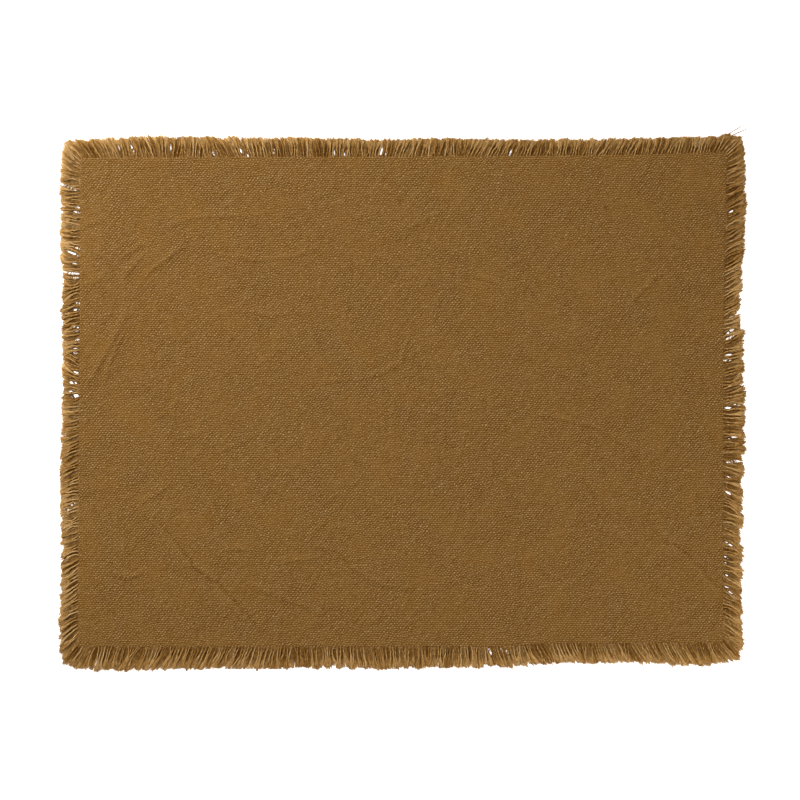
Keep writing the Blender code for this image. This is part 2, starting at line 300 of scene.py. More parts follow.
def soft_noise(x, y, size, seed):
    """Smooth hills of a given size, mostly between -1 and 1, from a few crossing waves."""
    draw = np.random.default_rng(seed)
    total = np.zeros(np.shape(x))
    for _ in range(WAVES):
        turn = draw.uniform(0, 2 * np.pi)
        length = size * draw.uniform(0.6, 1.8)
        phase = draw.uniform(0, 2 * np.pi)
        along = x * np.cos(turn) + y * np.sin(turn)
        total += np.sin(2 * np.pi * along / length + phase)
    return total / np.sqrt(WAVES) / 1.6


columns, rows = shares_across(CLOTH_LENGTH), shares_across(CLOTH_DEPTH)
deselect()
bpy.ops.mesh.primitive_grid_add(
    x_subdivisions=len(columns) - 1, y_subdivisions=len(rows) - 1, size=1, location=(0, 0, 0)
)
cloth = bpy.context.object
cloth.name = cloth.data.name = "woven_cloth"
places = np.empty(len(cloth.data.vertices) * 3)
cloth.data.vertices.foreach_get("co", places)
places = places.reshape(-1, 3)
column = np.rint((places[:, 0] + 0.5) * (len(columns) - 1)).astype(int)
row = np.rint((places[:, 1] + 0.5) * (len(rows) - 1)).astype(int)
across, up = columns[column], rows[row]
x, y = cloth_point(across, up)
print("cloth mesh:", len(columns), "by", len(rows), "lines")

# %% Lift the creases, soften the rim and close the sheet below
lifts, lines = zip(*(read_crease(x, y, *crease) for crease in CREASES))
# The creases' painted highlights and shade lines, with the rubbed spots and darker knots, as one
# tone.
painted_crease_light_and_wear = np.sum(lines, axis=0)
for *spot, radius, lightness in SPOTS:
    distance = np.hypot(x - spot[0] * MM, y - spot[1] * MM) / (radius * MM)
    painted_crease_light_and_wear += lightness * np.exp(-(distance**2)) * (1 + soft_noise(x, y, SPOT_GRAIN, seed=9))
crease_light_and_wear = cloth.data.attributes.new("wear", "FLOAT", "POINT")
crease_light_and_wear.data.foreach_set("value", painted_crease_light_and_wear.astype(np.float32))
height = np.max(lifts, axis=0)
height += SWELL * (1 + soft_noise(x, y, SWELL_SIZE, seed=3))
from_edge = np.minimum(
    np.minimum(across, 1 - across) * CLOTH_LENGTH, np.minimum(up, 1 - up) * CLOTH_DEPTH
)
height -= RIM_DROP * np.clip(1 - from_edge / RIM_WIDTH, 0, 1) ** 2
places[:, 0], places[:, 1] = x + TABLE_SHIFT[0], y + TABLE_SHIFT[1]
places[:, 2] = CLOTH_THICKNESS + height
cloth.data.vertices.foreach_set("co", places.ravel())

sheet = bmesh.new()
sheet.from_mesh(cloth.data)
sheet.verts.ensure_lookup_table()
counts = dict(zip(sheet.verts, zip(across * WARPS, up * WEFTS)))
border = [edge for edge in sheet.edges if edge.is_boundary]
drawn = bmesh.ops.extrude_edge_only(sheet, edges=border)["geom"]
for vert in (item for item in drawn if isinstance(item, bmesh.types.BMVert)):
    linked = (edge.other_vert(vert) for edge in vert.link_edges)
    counts[vert] = next(counts[other] for other in linked if other in counts)
    vert.co.z = 0.0
foot = [item for item in drawn if isinstance(item, bmesh.types.BMEdge) and item.is_boundary]
underside = bmesh.ops.contextual_create(sheet, geom=foot)["faces"]
bmesh.ops.recalc_face_normals(sheet, faces=sheet.faces)
weave_map = sheet.loops.layers.uv.new("weave")
for face in sheet.faces:
    face.smooth = face not in underside
    for corner in face.loops:
        corner[weave_map].uv = counts[corner.vert]
sheet.to_mesh(cloth.data)
sheet.free()
print("cloth:", len(cloth.data.polygons), "faces, highest", places[:, 2].max() / MM, "mm")

# %% [markdown]
# ## One strand, modelled once
#
# A fringe yarn is three plies twisted round each other, and each ply is a bundle of fibres that
# comes loose at its end. Plies and stray fibres are both a thin three-sided tube. It is modelled
# once, as a triangle that is extruded again and again, and numpy bends copies of it along each of
# them, which is far quicker than a modifier for each.
#
# The tube also gets its place on a colour chart, the fringe's UV map: the way from root to tip
# runs up it, and across it stand narrow columns, each one shade of yarn.

# %% Model a strand by extruding a triangle
ROUND = 3
CHART_COLUMNS = 32  # the first half for upper yarns, the other for lower ones
CAP_SHARE = 0.01  # of the chart's height, for a strand's end


def model_strand(shares):
    """A closed tube with a ring at each share of its length, as arrays that copies can use."""
    deselect()
    bpy.ops.mesh.primitive_circle_add(vertices=ROUND, radius=1, fill_type="NGON")
    tube = bpy.context.object
    bpy.ops.object.mode_set(mode="EDIT")
    for _ in shares[1:]:
        bpy.ops.mesh.extrude_region_move(TRANSFORM_OT_translate={"value": (0, 0, 1)})
    bpy.ops.mesh.select_all(action="SELECT")
    bpy.ops.mesh.normals_make_consistent(inside=False)
    bpy.ops.object.mode_set(mode="OBJECT")
    points = np.array([vert.co for vert in tube.data.vertices])
    ring = np.rint(points[:, 2]).astype(int)
    angle = np.arctan2(points[:, 1], points[:, 0])
    turn = np.rint(angle / (2 * np.pi) * ROUND).astype(int) % ROUND
    strand = {"ring": ring, "angle": angle}
    for name, size in (("sides", 4), ("caps", ROUND)):
        polygons = (face.vertices[:] for face in tube.data.polygons)
        faces = np.array([face for face in polygons if len(face) == size])
        turns = turn[faces].astype(float)
        along = shares[ring[faces]]
        if name == "sides":
            wraps = np.ptp(turns, axis=1, keepdims=True) > 1
            turns = np.where(wraps & (turns == 0), ROUND, turns)
        else:
            inwards = np.where(along > 0.5, -CAP_SHARE, CAP_SHARE)
            along = along + np.where(turns == 1, inwards, 0.0)
        strand[name] = (faces, turns / ROUND, along)
    bpy.data.objects.remove(tube)
    return strand


PLY_SHARES = np.array([0, 0.07, 0.14, 0.22, 0.31, 0.41, 0.52, 0.64, 0.76, 0.88, 1.0])
WISP_SHARES = np.array([0.0, 0.4, 0.75, 1.0])
PLY_STRAND = model_strand(PLY_SHARES)
WISP_STRAND = model_strand(0.4 + 0.6 * WISP_SHARES)  # it begins well up the chart
print("sides:", len(PLY_STRAND["sides"][0]), "of a ply,", len(WISP_STRAND["sides"][0]), "of a wisp")

# %% [markdown]
# ## Where the fringe stands open
#
# Here and there the yarns have drifted apart and the table shows. A row for each such gap gives
# its place along the side, how far out it begins and ends, its width, and how it slants.

# %% Table of open gaps, in millimetres
GAPS = {
    "top": (
        (-185.7, 5.3, 8.1, 0.4, -0.5), (-176.9, 3.6, 8.7, 1, -0.4), (-151.5, 4.1, 8.7, 0.8, -0.1),
        (-123.9, 1.6, 3.7, 0.9, -0.3), (-121.8, 3, 4.8, 0.7, -0.2), (-105.8, 3.2, 5, 1.2, -0.2),
        (-101.4, 0.5, 2.3, 0.7, -0.1), (-83.9, 2.7, 5.4, 0.9, -0.1), (-44.4, 1.4, 3.6, 0.4, -0.2),
        (-37.9, 0.3, 2.1, 0.8, 0.1), (-13.4, 0.4, 6.2, 1.4, 0.3), (-10.6, 1.1, 3.5, 0.5, 0.5),
        (71.3, 0, 4, 0.9, 0.4),
    ),
    "bottom": (
        (57.9, 2, 5, 1.1, 0.6), (65.4, 1.3, 3.4, 0.5, 0.5), (68.8, 2.3, 4.9, 0.5, 0.6),
    ),
    "left": (
        (-72.1, 5.8, 10, 0.8, -0.2), (-69, 3, 5.4, 0.9, -0.3), (-24, 8.5, 11.2, 0.4, -0.1),
        (2.3, 0.6, 5.5, 1.6, -0.2), (5.3, 4.3, 6.8, 1, 0.1), (11.2, 0.5, 7.1, 0.8, 0.2),
        (17.8, 0.5, 4.4, 0.7, 0.3), (30.5, 2.1, 4.7, 0.6, 0.1), (33.5, 2.1, 4, 0.6, 0),
        (39.4, 0.5, 3.1, 0.7, -0.2), (44.9, 0.5, 4.4, 0.6, -0.2), (47.5, 0.7, 6.8, 0.7, 0.2),
        (55.2, 8, 10.7, 0.5, 0.1), (58.9, 0.5, 4.4, 0.9, 0.1), (63.3, 0.3, 2.5, 0.7, 0),
        (80.2, 1.2, 5, 0.8, 0), (83, 1, 10.5, 1.3, 0.15), (89.4, 2.2, 5.5, 0.4, 0.1),
        (96.3, 1.6, 9.9, 1.2, 0.4), (99.3, 0.4, 3, 0.6, 0.5), (123.1, 0.8, 4.1, 1, 0.2),
        (125.9, 0.8, 3.1, 0.9, 0.1), (139.5, 3, 13, 1.2, 0.45), (155.4, 3.9, 6.6, 0.6, 0.7),
        (158, 2.1, 5.3, 0.6, 0.4),
    ),
    "right": (
        (-133, 4.8, 7.5, 0.6, -0.5), (-127.2, 3.5, 7.5, 1, -0.8), (-123.3, 1.2, 4.2, 0.5, -0.3),
        (-115.8, 1.7, 4.1, 0.6, -0.6), (-107.2, 1.2, 4.2, 0.7, -0.1), (-104, 0.9, 4.5, 0.7, -0.3),
        (-95.3, 1.5, 7.4, 0.5, -0.7), (-61.6, 2.3, 5.7, 0.9, -0.5), (-51, 3, 5.2, 0.8, -0.4),
        (-40.8, 2.3, 11, 1.3, 0.1), (-29.3, 6.3, 8.3, 0.5, -0.1), (-25.3, 3.4, 9, 0.5, 0.1),
        (-5.6, 1.6, 4.8, 1, 0), (-3.7, 7.2, 11.1, 0.7, -0.2), (25.9, 0.5, 4.3, 0.9, 0),
        (29.5, 1.4, 5.9, 0.7, 0.2), (40.8, 1.5, 7.6, 1, 0.3), (44.8, 2.6, 6.9, 1.7, 0.6),
        (100, 9, 11, 0.4, 0), (123.6, 2.4, 5.6, 1, 0.3),
    ),
}
GAP_MARGIN = 0.7 * MM  # by which its slot is longer at each end
GAP_REACH = 1.6 * MM  # how far to each side a gap crowds the yarns
GAP_STRAND = 0.44 * MM  # half the width of the strands at its sides
GAP_OPEN = by_side(0.9, 0.95, 1.45, 1.25)  # share of the width above


def open_gaps(side, at, out):
    """Pushes points of the fringe sideways, out of each gap's slanted slot."""
    moved = at.copy()
    for place, begins, ends, width, slant in GAPS[side]:
        middle, half = (begins + ends) / 2 * MM, (ends - begins) / 2 * MM + GAP_MARGIN
        offset = at - (place * MM + slant * (out - middle))
        inside = np.sqrt(np.clip(1 - ((out - middle) / half) ** 2, 0, 1))
        push = (GAP_OPEN[side] * width * MM / 2 + GAP_STRAND) * np.exp(-np.abs(offset) / GAP_REACH)
        moved += np.where(offset < 0, -push, push) * inside
    return moved


print("open gaps:", {side: len(rows) for side, rows in GAPS.items()})

# %% [markdown]
# ## The way each yarn lies
#
# In plain weave every other yarn leaves the cloth over the last cross yarn, and stays round and
# bright. Those between leave it from below and lie flat, painted dark as the shade of the upper
# yarns over them. Neighbours cling together in tufts of three to nine: they draw in half way out
# and spread again at their ends, where the fibres come loose and close the rim.

# %% Work out the middle line of every yarn of a side
YARN_ROOT = -1.6 * MM  # how far inside the weave a yarn starts
RUN_SHARES = (0.0, 0.08, 0.16, 0.28, 0.5, 1.0)
UPPER_HEIGHTS = (0.50, 0.88, 1.00, 1.05, 1.00, 0.95)
LOWER_HEIGHTS = (0.45, 0.80, 0.70, 0.32, 0.40, 0.70)
CORNER_YARNS = 7  # further lower yarns at each end, to fill the corner's fan
UPPER = by_side(0, 0, 1, 1)  # upper are those of even or odd number
SEEDS = by_side(21, 22, 23, 24)
CURL = by_side(0.35, 0.35, 1.1, 1.1)  # how far yarns bow aside
DOME = by_side(0.5, 0.5, 1.0, 1.0)  # how high a tuft's middle stands
RAGGED = by_side(0.02, 0.02, 0.035, 0.045)  # how tufts differ in length
KINK = 0.17 * MM  # how far the small bends of a yarn throw it aside
WAVE = 0.18 * MM  # and how far one or two slow bends do
BOW = 0.22 * MM  # how much single upper yarns bow
DRIFT_SIZE = 12 * MM  # of the stretches of a side that bow and lean alike
TUFT_SWAY, YARN_SWAY = 0.07, 0.09  # how far the leans stray from the table's
PINCH = (0.1, 0.45)  # how far a tuft draws in, as a share of its width
NOTCH = (0.0, 0.18)  # how much shorter its outer yarns are


def read_tufts(count, draw):
    """The tuft of each yarn: its number, the yarn's place in it from -1 to 1, and its size."""
    sizes = []
    while sum(sizes) < count:
        sizes.append(int(draw.integers(3, 10)))
    number = np.repeat(np.arange(len(sizes)), sizes)[:count]
    starts = np.concatenate(([0], np.cumsum(sizes)))
    size = np.array(sizes)[number]
    place = (np.arange(count) - starts[number] + 0.5) / size * 2 - 1
    return number, place, size


def side_noise(side, root, size, offset):
    """Smooth noise along a side, another one for each offset of its seed."""
    return soft_noise(root, root * 0, size, seed=SEEDS[side] + offset)


def lay_yarns(side, count):
    """A side's yarns: their middle lines (yarns, rings, 3) in its axes, and how they lie."""
    draw = np.random.default_rng(SEEDS[side])
    first, last = SIDES[side][0][0] * MM, SIDES[side][-1][0] * MM
    pitch = (last - first) / count
    corner = (np.arange(CORNER_YARNS) + 0.9) * pitch
    root = first + (np.arange(count) + 0.5 + draw.uniform(-0.12, 0.12, count)) * pitch
    upper = np.concatenate((np.arange(count) % 2 == UPPER[side], corner < 0, corner < 0))
    root = np.concatenate((root, first + corner, last - corner))
    order = np.argsort(root)
    root, upper, count = root[order], upper[order], len(order)
    number, place, size = read_tufts(count, draw)
    tuft_count = number[-1] + 1
    bend = CURL[side] * MM * side_noise(side, root, DRIFT_SIZE, 60)
    bend += draw.normal(0, BOW, count) * upper
    lean = read_lean(side, root) + 0.04 * side_noise(side, root, DRIFT_SIZE, 50)
    sway = draw.normal(0, TUFT_SWAY, tuft_count)[number] + draw.normal(0, YARN_SWAY, count)
    sway *= upper
    pinch = draw.uniform(*PINCH, tuft_count)[number] * upper
    notch = draw.uniform(*NOTCH, tuft_count)[number] * place**2
    dome = DOME[side] * draw.uniform(0.3, 1.3, tuft_count)[number] * (1 - place**2) * MM
    reach = read_side(side, "tip", root) - read_side(side, "edge", root)
    uneven = 1.02 + draw.normal(0, RAGGED[side], tuft_count)[number] + draw.normal(0, 0.03, count)
    length = reach * (uneven - notch)

    share = PLY_SHARES[None, :]
    start = YARN_ROOT + draw.uniform(-0.6, 0.6, count)[:, None] * MM
    out = start + share * (length[:, None] - start)
    past = np.clip(out, 0, None)
    turn = past / length[:, None]
    hump = np.sin(np.pi * turn)
    way = past * (0.8 + 0.2 * turn)
    at = root[:, None] + lean[:, None] * way + bend[:, None] * hump
    stretch = np.clip(np.gradient(at, axis=0) / pitch, 0.9, 2.4)
    at += sway[:, None] * way
    at -= (place * size * pitch / 2 * pinch)[:, None] * np.sin(np.pi * turn**0.8)
    wave = draw.uniform(0, 2 * np.pi, count)[:, None] + turn * draw.uniform(3, 8, count)[:, None]
    at += WAVE * np.sin(wave) * turn * np.where(upper, 1.0, 0.3)[:, None]
    kinks = draw.normal(0, KINK, (2, *at.shape)) * np.clip(turn * 4, 0, 1)
    at += kinks[0] * np.where(upper, 1.0, 0.5)[:, None]

    heights = np.where(upper[:, None], np.interp(share, RUN_SHARES, UPPER_HEIGHTS),
                       np.interp(share, RUN_SHARES, LOWER_HEIGHTS)) * MM
    rise = dome * np.where(upper, 1.0, 0.5)
    arch = np.sin(np.pi / 2 * np.clip(turn * 1.6, 0, 1))
    up = heights + rise[:, None] * arch * (1 - 0.3 * turn**4)
    up += draw.uniform(-0.1, 0.1, count)[:, None] * MM * turn + kinks[1] * upper[:, None]
    lay = {"root": root, "upper": upper, "turn": turn, "stretch": stretch}
    return np.stack((at, out, up), axis=2), lay, draw


print("yarns in all:", 2 * (WARPS + WEFTS + len(SIDES) * CORNER_YARNS))

# %% [markdown]
# ## Plies and stray fibres
#
# The three plies of an upper yarn wind round each other near the cloth. Those of a lower one lie
# side by side and cover the table. Further out both part. Stray fibres leave a yarn about half way
# along and fill the space between the ends, so the rim looks brushed. A few bundles of them stand
# out of the two right corners.

# %% Bend copies of a strand along a yarn's plies and stray fibres
PLIES = 3
WISPS = by_side(12, 12, 20, 20)  # stray fibres of a yarn
STRAYS = {  # bundles that stand out of a corner: where each begins and ends, in millimetres
    "top": ((209.0, 8.5, 224.0, 17.4), (210.5, 8.0, 226.0, 14.8), (210.0, 6.5, 224.5, 10.2)),
    "right": ((-156.5, 8.0, -160.5, 14.2), (-155.0, 8.0, -158.0, 14.6)),
}
STRAY_FIBRES, STRAY_SPREAD = 18, 0.12 * MM
# The left fringe, which faces the light, is painted lighter than the others.
LIGHTNESS_WITH_SIDE_LIGHT = by_side(0.48, 0.47, 0.63, 0.51)
YARN_SHADES, PLY_SHADES, WISP_SHADES = 0.20, 0.24, 0.38  # how unlike in lightness they are
PATCH_SHADES, PATCH_SIZE = 0.10, 22 * MM  # and stretches of a side
TWIST_PITCH = 3.2 * MM  # length of yarn in one full turn
WINDING = 0.54  # how far from a yarn's middle its plies wind, in its radii
TAPER_AT = (0, 0.1, 0.5, 0.86, 1.0)  # shares of a yarn's way out
ROUND_TAPER = (0.60, 0.66, 0.74, 0.78, 0.46)  # radius of the plies there, in an upper yarn
FLAT_TAPER = (1.1, 1.35, 1.38, 1.20, 0.65)  # and in a lower one
WISP_BEGIN, WISP_END = (0.30, 0.72), (0.90, 1.0)  # the same shares, for a stray fibre
WISP_RADII = np.array([0.08, 0.16, 0.15, 0.06]) * MM  # at its rings
CHART = "OFBake"  # the name of the fringe's UV map


def copy_strands(strand, line, width, flatness, column):
    """Copies of a strand, bent along lines (copies, rings, 3): points, faces and chart places."""
    ring, angle = strand["ring"], strand["angle"]
    ahead = np.gradient(line, axis=1)
    ahead /= np.linalg.norm(ahead, axis=2, keepdims=True) + 1e-12
    aside = np.cross((0.0, 0.0, 1.0), ahead)
    aside /= np.linalg.norm(aside, axis=2, keepdims=True) + 1e-12
    upward = np.cross(ahead, aside)
    cos, sin = np.cos(angle)[None, :, None], np.sin(angle)[None, :, None]
    sin = sin * flatness[:, None, None]
    points = line[:, ring] + width[:, ring, None] * (aside[:, ring] * cos + upward[:, ring] * sin)
    first = (np.arange(len(line)) * len(ring))[:, None, None]
    faces, chart = [], []
    for name in ("sides", "caps"):
        corners, turns, along = strand[name]
        copied = corners[None] + first
        across = (column[:, None, None] + turns[None]) / CHART_COLUMNS
        up = along[None] + across * 0
        faces.append(copied.reshape(-1, corners.shape[1]))
        chart.append(np.stack((across, up), axis=-1).reshape(-1, 2))
    return points.reshape(-1, 3), faces, chart


def choose_column(shade, upper):
    """The chart's column for a yarn's lightness, from 0 to 1, and its layer."""
    half = CHART_COLUMNS // 2
    return np.floor(np.clip(shade, 0, 0.999) * half) + np.where(upper, 0, half)


def make_plies(middle, lay, radius, shade, draw):
    """The plies of a side's yarns: their lines, widths, flatness and columns."""
    count = len(middle)
    upper, turn, stretch = lay["upper"][:, None], lay["turn"], lay["stretch"]
    run = np.clip(middle[:, :, 1] - YARN_ROOT, 0, None)
    winding = 2 * np.pi * np.minimum(run, 0.5 * run + 3.0 * MM) / TWIST_PITCH
    phase = draw.uniform(0, 2 * np.pi, count)[:, None]
    opened = np.clip((turn - 0.35) / 0.65, 0, 1) ** 0.8
    flat_spread = np.interp(turn, (0, 0.1, 0.5, 1), (1.0, 1.55, 1.6, 1.65)) * radius * stretch
    loose_spread = radius * 1.2 * draw.uniform(0.7, 1.3, (count, 1)) * stretch
    flatness = np.tile(np.where(lay["upper"], 1.0, 0.4), PLIES)
    lines, widths, columns = [], [], []
    for ply in range(PLIES):
        around = phase + winding + 2 * np.pi * ply / PLIES
        rank = ply - (PLIES - 1) / 2
        jitter = draw.normal(0, 0.26, (count, 1)) * radius
        round_at = WINDING * radius * np.cos(around)
        round_at = round_at * (1 - opened) + (rank * loose_spread + jitter) * opened
        flat_at = rank * flat_spread + jitter * turn
        offset = np.zeros_like(middle)
        offset[:, :, 0] = np.where(upper, round_at, flat_at)
        offset[:, :, 1] = draw.normal(0, 0.40 * MM, (count, 1)) * np.clip(turn - 0.5, 0, 1) * 2
        round_up = WINDING * radius * np.sin(around) * (1 - 0.6 * opened)
        offset[:, :, 2] = np.where(upper, round_up, 0.05 * radius * rank)
        flat_taper = np.interp(turn, TAPER_AT, FLAT_TAPER) * stretch
        taper = np.where(upper, np.interp(turn, TAPER_AT, ROUND_TAPER), flat_taper)
        lines.append(middle + offset)
        widths.append(radius * taper * draw.uniform(0.9, 1.12, (count, 1)))
        columns.append(choose_column(shade + draw.normal(0, PLY_SHADES, count), lay["upper"]))
    return np.concatenate(lines), np.concatenate(widths), flatness, np.concatenate(columns)


def make_wisps(side, middle, lay, radius, shade, draw):
    """Fine fibres that leave each yarn past its middle and end just beyond its plies."""
    count, rings = middle.shape[:2]
    yarn = np.arange(count)[:, None]
    lines, columns = [], []
    for _ in range(WISPS[side]):
        begin = draw.uniform(*WISP_BEGIN, count)
        end = draw.uniform(*WISP_END, count)
        share = begin[:, None] + (end - begin)[:, None] * WISP_SHARES[None, :]
        place = np.interp(share, PLY_SHARES, np.arange(rings))
        below = np.clip(np.floor(place).astype(int), 0, rings - 2)
        mix = (place - below)[:, :, None]
        line = middle[yarn, below] * (1 - mix) + middle[yarn, below + 1] * mix
        line[:, :, 0] += draw.normal(0, 1.8, count)[:, None] * radius * WISP_SHARES**1.2
        line[:, :, 0] += draw.normal(0, 0.35 * MM, count)[:, None] * np.sin(np.pi * WISP_SHARES)
        line[:, :, 1] += draw.uniform(-0.4, 1.1, count)[:, None] * MM * WISP_SHARES**2
        line[:, :, 2] += draw.uniform(0.1, 1.4, count)[:, None] * radius * WISP_SHARES**0.5
        lines.append(line)
        columns.append(choose_column(shade + draw.normal(0.03, WISP_SHADES, count), lay["upper"]))
    for *start, end_at, end_out in STRAYS.get(side, ()):
        start, end = np.array(((*start, 1.2), (end_at, end_out, 2.0))) * MM
        line = start + (end - start) * WISP_SHARES[:, None]
        line = line + draw.normal(0, STRAY_SPREAD, (STRAY_FIBRES, 1, 3))
        line[:, :, 0] += draw.normal(0, 0.1 * MM, (STRAY_FIBRES, 1)) * np.sin(np.pi * WISP_SHARES)
        lines.append(line)
        columns.append(choose_column(draw.uniform(0.1, 0.5, STRAY_FIBRES), True))
    line = np.concatenate(lines)
    width = np.tile(WISP_RADII, (len(line), 1))
    return line, width, np.ones(len(line)), np.concatenate(columns)


print("strands of a yarn:", PLIES, "plies and", WISPS, "stray fibres")

# %% Assemble one fringe from its strands
LOWEST = 0.01 * MM  # just above the table


def to_mat(side, points):
    """Turns points from a side's own axes into the mat's."""
    out = points[:, 1] + read_side(side, "edge", points[:, 0])
    plan = points[:, :1] * ALONG[side] + out[:, None] * OUTWARDS[side] + TABLE_SHIFT
    return np.column_stack((plan, np.maximum(points[:, 2], LOWEST)))


def make_fringe(side):
    """All yarns of a side as one mesh, with its colour chart."""
    warps = side in ("top", "bottom")
    count, radius = (WARPS, WARP_RADIUS) if warps else (WEFTS, WEFT_RADIUS)
    middle, lay, draw = lay_yarns(side, count)
    patches = PATCH_SHADES * side_noise(side, lay["root"], PATCH_SIZE, 3)
    shade = LIGHTNESS_WITH_SIDE_LIGHT[side] + draw.normal(0, YARN_SHADES, len(middle)) + patches
    plies = make_plies(middle, lay, radius, shade, draw)
    wisps = make_wisps(side, middle, lay, radius, shade, draw)
    for line, width, flatness, _ in (plies, wisps):
        line[:, :, 0] = open_gaps(side, line[:, :, 0], line[:, :, 1])
        line[:, :, 2] = np.maximum(line[:, :, 2], width * flatness[:, None] * 0.6)

    points, faces, charts, total = [], [], [], 0
    for strand, *laid in ((PLY_STRAND, *plies), (WISP_STRAND, *wisps)):
        copied, face_groups, chart_groups = copy_strands(strand, *laid)
        points.append(copied)
        faces += [group + total for group in face_groups]
        charts += chart_groups
        total += len(copied)
    mesh = bpy.data.meshes.new(f"fringe_yarns_{side}")
    placed = to_mat(side, np.concatenate(points))
    faces = [face for group in faces for face in group.tolist()]
    mesh.from_pydata(placed.tolist(), [], faces)
    chart = mesh.uv_layers.new(name=CHART)
    chart.data.foreach_set("uv", np.concatenate(charts).ravel())
    fringe = bpy.data.objects.new(mesh.name, mesh)
    bpy.context.collection.objects.link(fringe)
    deselect()
    fringe.select_set(True)
    bpy.context.view_layer.objects.active = fringe
    bpy.ops.object.mode_set(mode="EDIT")
    bpy.ops.mesh.select_all(action="SELECT")
    bpy.ops.mesh.normals_make_consistent(inside=False)
    bpy.ops.object.mode_set(mode="OBJECT")
    mesh.shade_smooth()
    mesh.calc_loop_triangles()
    print(mesh.name, len(mesh.loop_triangles), "triangles")
    return fringe


fringes = {side: make_fringe(side) for side in SIDES}

# %% [markdown]
# ## Shader maths as Python
#
# A finish is easier to read as an expression than as a web of nodes. `Signal` wraps one socket
# and turns `+`, `-` and `*` into Math nodes. `Finish.node` adds any other node, from its kind, its
# settings, and the values or links of its sockets.


# %% Two small classes for materials
class Signal:
    """One value in a material, which can be used in Python expressions."""

    def __init__(self, finish, socket):
        self.finish = finish
        self.socket = socket

    def maths(self, operation, *others):
        sockets = dict(enumerate((self, *others)))
        return self.finish.node("Math", {"operation": operation}, sockets)

    def __add__(self, other):
        return self.maths("ADD", other)

    def __sub__(self, other):
        return self.maths("SUBTRACT", other)

    def __mul__(self, other):
        return self.maths("MULTIPLY", other)

    def __rsub__(self, other):
        return self.finish.node("Math", {"operation": "SUBTRACT"}, {0: other, 1: self})

    __radd__, __rmul__ = __add__, __mul__

    def floor(self):
        return self.maths("FLOOR")

    def wave(self):
        """The cosine of half a turn for each unit: 1 at 0, 0 at a half, -1 at 1."""
        return (self * np.pi).maths("COSINE")

    def ramp(self, low, high):
        """0 below low, 1 above high, and a soft step between."""
        settings = {"interpolation_type": "SMOOTHSTEP"}
        sockets = {"Value": self, "From Min": low, "From Max": high}
        return self.finish.node("MapRange", settings, sockets)


class Finish:
    """A material whose Principled shader is fed by expressions."""

    def __init__(self, name, constants):
        self.material = bpy.data.materials.new(name)
        self.material.use_nodes = True
        self.tree = self.material.node_tree
        self.shader = self.tree.nodes["Principled BSDF"]
        for socket, value in constants.items():
            self.shader.inputs[socket].default_value = value

    def node(self, kind, settings, sockets, output=0):
        made = self.tree.nodes.new("ShaderNode" + kind)
        for key, value in settings.items():
            if key == "stops":
                while len(made.color_ramp.elements) < len(value):
                    made.color_ramp.elements.new(1.0)
                for element, (position, colour) in zip(made.color_ramp.elements, value):
                    element.position = position
                    element.color = (*colour, 1.0)
            else:
                setattr(made, key, value)
        for key, value in sockets.items():
            self.feed(made.inputs[key], value)
        return Signal(self, made.outputs[output])

    def feed(self, socket, value):
        if isinstance(value, Signal):
            self.tree.links.new(value.socket, socket)
        elif hasattr(value, "__len__") and len(value) < len(socket.default_value):
            socket.default_value = (*value, 1.0)
        else:
            socket.default_value = value

    def parts(self, vector):
        """The first two numbers of a vector."""
        split = self.node("SeparateXYZ", {}, {"Vector": vector})
        return split, Signal(self, split.socket.node.outputs[1])

    def blend(self, factor, first, second, kind="MIX"):
        """One colour mixed with another."""
        settings = {"data_type": "RGBA", "blend_type": kind}
        return self.node("Mix", settings, {0: factor, 6: first, 7: second}, output=2)

    def grade(self, share, *stops):
        """A colour for a share, from stops of (position, colour)."""
        return self.node("ValToRGB", {"stops": stops}, {"Fac": share})

    def tinted(self, colour, tone):
        """A colour times a tone near 1: what is darker is also redder."""
        tone = tone.maths("MAXIMUM", 0.1)
        powers = {i: tone.maths("POWER", power) for i, power in enumerate(TONE_POWERS)}
        return self.blend(1.0, colour, self.node("CombineColor", {}, powers), "MULTIPLY")

    def noise(self, place, scale, detail=2.0):
        return self.node("TexNoise", {}, {"Vector": place, "Scale": scale, "Detail": detail})

    def chance(self, *numbers):
        """A random value for each set of whole numbers."""
        cell = self.node("CombineXYZ", {}, dict(enumerate(numbers)))
        return self.node("TexWhiteNoise", {"noise_dimensions": "3D"}, {"Vector": cell})

    def dress(self, colour, roughness, height, distance):
        """Feeds the shader: its colour, its roughness, and a bump from a height."""
        bump = self.node("Bump", {}, {"Height": height, "Strength": 1.0, "Distance": distance})
        self.feed(self.shader.inputs["Base Color"], colour)
        self.feed(self.shader.inputs["Roughness"], roughness)
        self.feed(self.shader.inputs["Normal"], bump)
        return self.material


TONE_POWERS = (1.0, 1.44, 2.6)  # how fast red, green and blue fall as cotton darkens
COTTON = {"Specular IOR Level": 0.08}  # matt, as loose fibres are
print("finish tools ready")

# %% [markdown]
# ## The cloth's finish
#
# At this scale the weave is mostly colour, with a little relief. A warp is on top where the sum of
# its number and the weft's is even, so its height along its run is a cosine, and so is the weft's
# the other way round. The higher of the two shows. The warps crimp more and their twist slants, so
# they stand out as rows of slanting dots. Hollows between yarns get painted shade, darker and
# redder, and the yarns' backs painted light. No two crossings are alike, short runs of them along
# the slant are pressed together, and the yarns wander a little. They are counted on the UV map, so
# they run with the edges. The tone kept on the sheet's vertices then paints the creases'
# highlights and shade lines, and the rubbed spots.

# %% Cloth: how the yarns run
WANDER, FINE_WANDER = 1.2, 0.95  # in yarns, from side to side
WARP_BENDS, WEFT_BENDS, FINE_BENDS = 95.0, 80.0, 500.0  # in a metre

